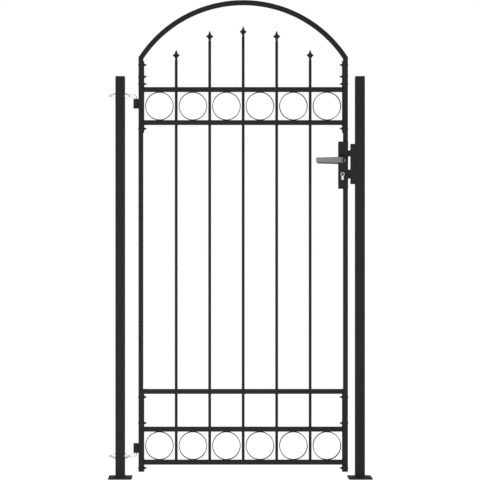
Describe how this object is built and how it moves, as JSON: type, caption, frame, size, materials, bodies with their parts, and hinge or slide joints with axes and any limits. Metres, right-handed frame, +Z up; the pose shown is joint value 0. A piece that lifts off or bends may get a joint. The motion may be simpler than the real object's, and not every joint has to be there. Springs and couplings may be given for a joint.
{
  "type": "garden gate",
  "caption": "Arched steel garden gate: swinging picket leaf with ring panels and spear tips, hung on hook hinges between square posts, with a lever latch and a keyed dead bolt.",
  "frame": {"origin": "ground level, midway between the posts and midway through the leaf's thickness", "axes": "+Z up along the posts, +X from the hinge post to the latch post, +Y away from the viewer"},
  "size_m": [1.1232, 0.12, 2.04],
  "materials": {
    "powder_coat": "satin black powder coat with a fine orange-peel texture",
    "zinc_plate": "bright zinc plating",
    "black_plastic": "moulded black plastic",
    "screw_steel": "black plated steel",
    "satin_lever": "satin grey metal",
    "nickel": "satin nickel plating",
    "lock_steel": "dark plated lock steel"
  },
  "bodies": {
    "posts": {"hinge_post": "powder_coat", "hinge_post_base_plate": "powder_coat", "hinge_post_cap": "black_plastic", "latch_post": "powder_coat", "latch_post_base_plate": "powder_coat", "latch_post_cap": "black_plastic", "strike_keep": "powder_coat", "upper_hinge_hook": "zinc_plate", "lower_hinge_hook": "zinc_plate", "hook_nuts": "zinc_plate", "hook_washers": "zinc_plate"},
    "handle": {"front_lever": "satin_lever", "rear_lever": "satin_lever", "lever_spindle": "lock_steel", "lever_follower": "lock_steel"},
    "latch": {"latch_bolt": "lock_steel"},
    "deadbolt": {"dead_bolt": "lock_steel"},
    "plug": {"cylinder_plug": "nickel", "cylinder_cam": "nickel"},
    "leaf": {"arch_leg_hinge_side": "powder_coat", "arch_leg_latch_side": "powder_coat", "arch_tube": "powder_coat", "bottom_rail": "powder_coat", "frame_bolts": "screw_steel", "frame_nuts": "screw_steel", "hinge_stile": "powder_coat", "key_cylinder": "nickel", "latch_spring": "lock_steel", "latch_stile_lower": "powder_coat", "latch_stile_upper": "powder_coat", "lever_collars": "satin_lever", "lock_box": "powder_coat", "lock_box_lids": "powder_coat", "lock_case": "lock_steel", "lock_face_plate": "lock_steel", "lock_screws": "screw_steel", "lower_end_bar_hinge_side": "powder_coat", "lower_end_bar_latch_side": "powder_coat", "lower_hinge_barrel": "powder_coat", "lower_rings": "powder_coat", "lower_top_rail": "powder_coat", "middle_rail": "powder_coat", "picket_1": "powder_coat", "picket_2": "powder_coat", "picket_3": "powder_coat", "picket_4": "powder_coat", "picket_5": "powder_coat", "spear_tip_1": "powder_coat", "spear_tip_2": "powder_coat", "spear_tip_3": "powder_coat", "spear_tip_4": "powder_coat", "spear_tip_5": "powder_coat", "stile_foot_plugs": "black_plastic", "upper_bottom_rail": "powder_coat", "upper_end_bar_hinge_side": "powder_coat", "upper_end_bar_latch_side": "powder_coat", "upper_hinge_barrel": "powder_coat", "upper_rings": "powder_coat", "upper_top_rail": "powder_coat"}
  },
  "joints": [
    {"name": "leaf_swing", "type": "hinge", "parent": "posts", "child": "leaf", "pos_m": [-0.4445, 0, 0.1], "axis": [0, 0, 1], "range_deg": [-100, 100]},
    {"name": "handle_turn", "type": "hinge", "parent": "leaf", "child": "handle", "pos_m": [0.4351, 0, 1.356], "axis": [0, -1, 0], "range_deg": [0, 40], "stiffness_Nm_per_rad": 1.2, "springref_deg": -20.05},
    {"name": "latch_slide", "type": "slide", "parent": "leaf", "child": "latch", "axis": [1, 0, 0], "range_m": [-0.015, 0], "deforming": ["latch_spring"]},
    {"name": "plug_turn", "type": "hinge", "parent": "leaf", "child": "plug", "pos_m": [0.4351, 0, 1.296], "axis": [0, -1, 0], "range_deg": [0, 360]},
    {"name": "bolt_slide", "type": "slide", "parent": "leaf", "child": "deadbolt", "axis": [1, 0, 0], "range_m": [-0.016, 0]}
  ],
  "couplings": [
    {"joint": "latch_slide", "follows": "handle_turn", "m_per_rad": -0.02148},
    {"joint": "plug_turn", "follows": "bolt_slide", "rad_per_m": -392.69}
  ]
}
